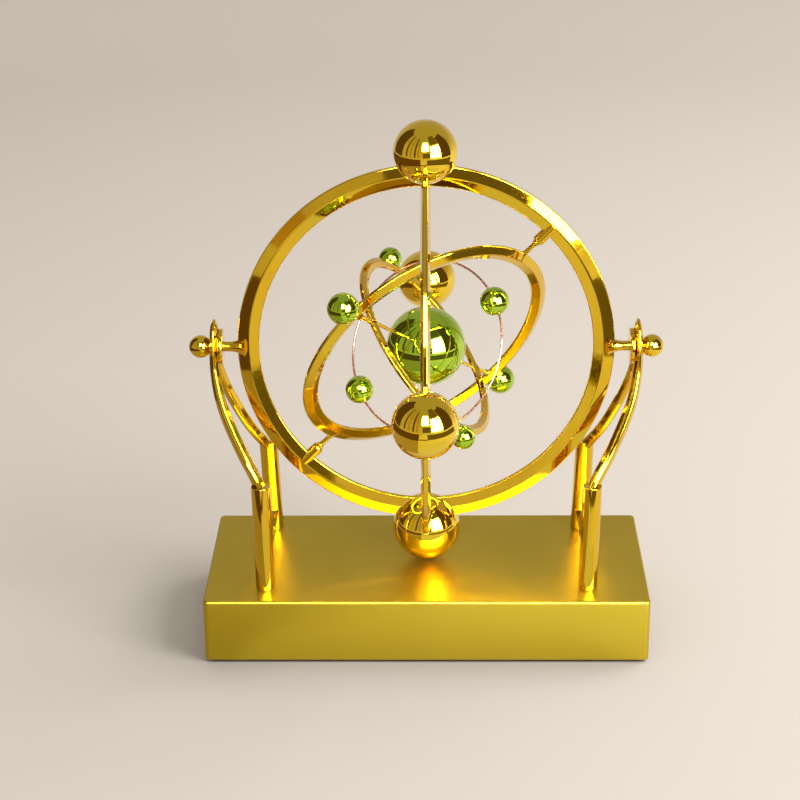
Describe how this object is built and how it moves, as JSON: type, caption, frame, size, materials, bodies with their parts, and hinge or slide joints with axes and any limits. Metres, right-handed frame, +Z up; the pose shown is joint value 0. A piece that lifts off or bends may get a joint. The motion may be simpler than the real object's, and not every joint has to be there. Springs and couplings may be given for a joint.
{
  "type": "kinetic desk sculpture",
  "caption": "Desk kinetic sculpture: nested gold rings with plated balls turn on an axle held between twin arches, driven by a coil hidden in the rectangular base.",
  "frame": {"origin": "On the table surface, under the middle of the base.", "axes": "X runs along the rotor axle to the right, -Y is the front, Z is up."},
  "size_m": [0.2116, 0.207, 0.2393],
  "materials": {
    "satin_gold": "satin metallic gold paint, fine even grain",
    "plated_gold": "mirror-bright gold plating on metal",
    "plated_gold_ball": "mirror-bright gold plating on moulded plastic",
    "plated_green": "mirror-bright lime green plating on moulded plastic",
    "copper": "bare rose-copper wire",
    "steel": "plain zinc-plated steel",
    "black_plastic": "moulded matt black plastic",
    "black_rubber": "soft black rubber",
    "circuit_board": "green solder mask",
    "battery_case": "plain dark printed can without lettering"
  },
  "bodies": {
    "base": {"base_housing": "satin_gold", "base_plate": "black_plastic", "battery": "battery_case", "circuit_board": "circuit_board", "coil_bobbin": "black_plastic", "coil_core": "steel", "coil_winding": "copper", "drive_transistor": "black_plastic", "front_left_foot": "black_rubber", "front_right_foot": "black_rubber", "left_arch": "plated_gold", "left_bearing": "plated_gold", "left_front_post": "plated_gold", "left_front_post_screw": "steel", "left_rear_post": "plated_gold", "left_rear_post_screw": "steel", "plate_screw_1": "steel", "plate_screw_2": "steel", "plate_screw_3": "steel", "plate_screw_4": "steel", "rear_left_foot": "black_rubber", "rear_right_foot": "black_rubber", "right_arch": "plated_gold", "right_bearing": "plated_gold", "right_front_post": "plated_gold", "right_front_post_screw": "steel", "right_rear_post": "plated_gold", "right_rear_post_screw": "steel"},
    "battery_door": {"battery_door": "black_plastic"},
    "rotor": {"outer_ring": "plated_gold", "cross_ring": "plated_gold", "left_axle": "plated_gold", "right_axle": "plated_gold", "left_knob": "plated_gold_ball", "right_knob": "plated_gold_ball", "top_ball": "plated_gold_ball", "bottom_ball": "plated_gold_ball", "front_ball": "plated_gold_ball", "rear_ball": "plated_gold_ball", "top_magnet": "steel", "bottom_magnet": "steel", "front_magnet": "steel", "rear_magnet": "steel", "upper_pivot_socket": "plated_gold", "lower_pivot_socket": "plated_gold"},
    "middle": {"middle_ring": "plated_gold", "upper_pivot_pin": "plated_gold", "lower_pivot_pin": "plated_gold", "near_rim_ball": "plated_green", "far_rim_ball": "plated_green"},
    "inner": {"inner_ring": "plated_gold", "centre_rod": "plated_gold", "centre_ball": "plated_green", "near_inner_pin": "plated_gold", "far_inner_pin": "plated_gold", "rear_edge_ball": "plated_green", "front_edge_ball": "plated_green", "wire_orbit": "copper", "lower_wire_ball": "plated_green", "upper_wire_ball": "plated_green"}
  },
  "joints": [
    {"name": "rotor_spin", "type": "hinge", "parent": "base", "child": "rotor", "pos_m": [0, 0, 0.1358], "axis": [1, 0, 0], "continuous": true},
    {"name": "middle_spin", "type": "hinge", "parent": "rotor", "child": "middle", "pos_m": [0, 0, 0.1358], "axis": [0.7071, 0, 0.7071], "continuous": true},
    {"name": "inner_spin", "type": "hinge", "parent": "middle", "child": "inner", "pos_m": [0, 0, 0.1358], "axis": [-0.5171, -0.682, 0.5171], "continuous": true},
    {"name": "battery_door_slide", "type": "slide", "parent": "base", "child": "battery_door", "axis": [1, 0, 0], "range_m": [0, 0.008]}
  ]
}
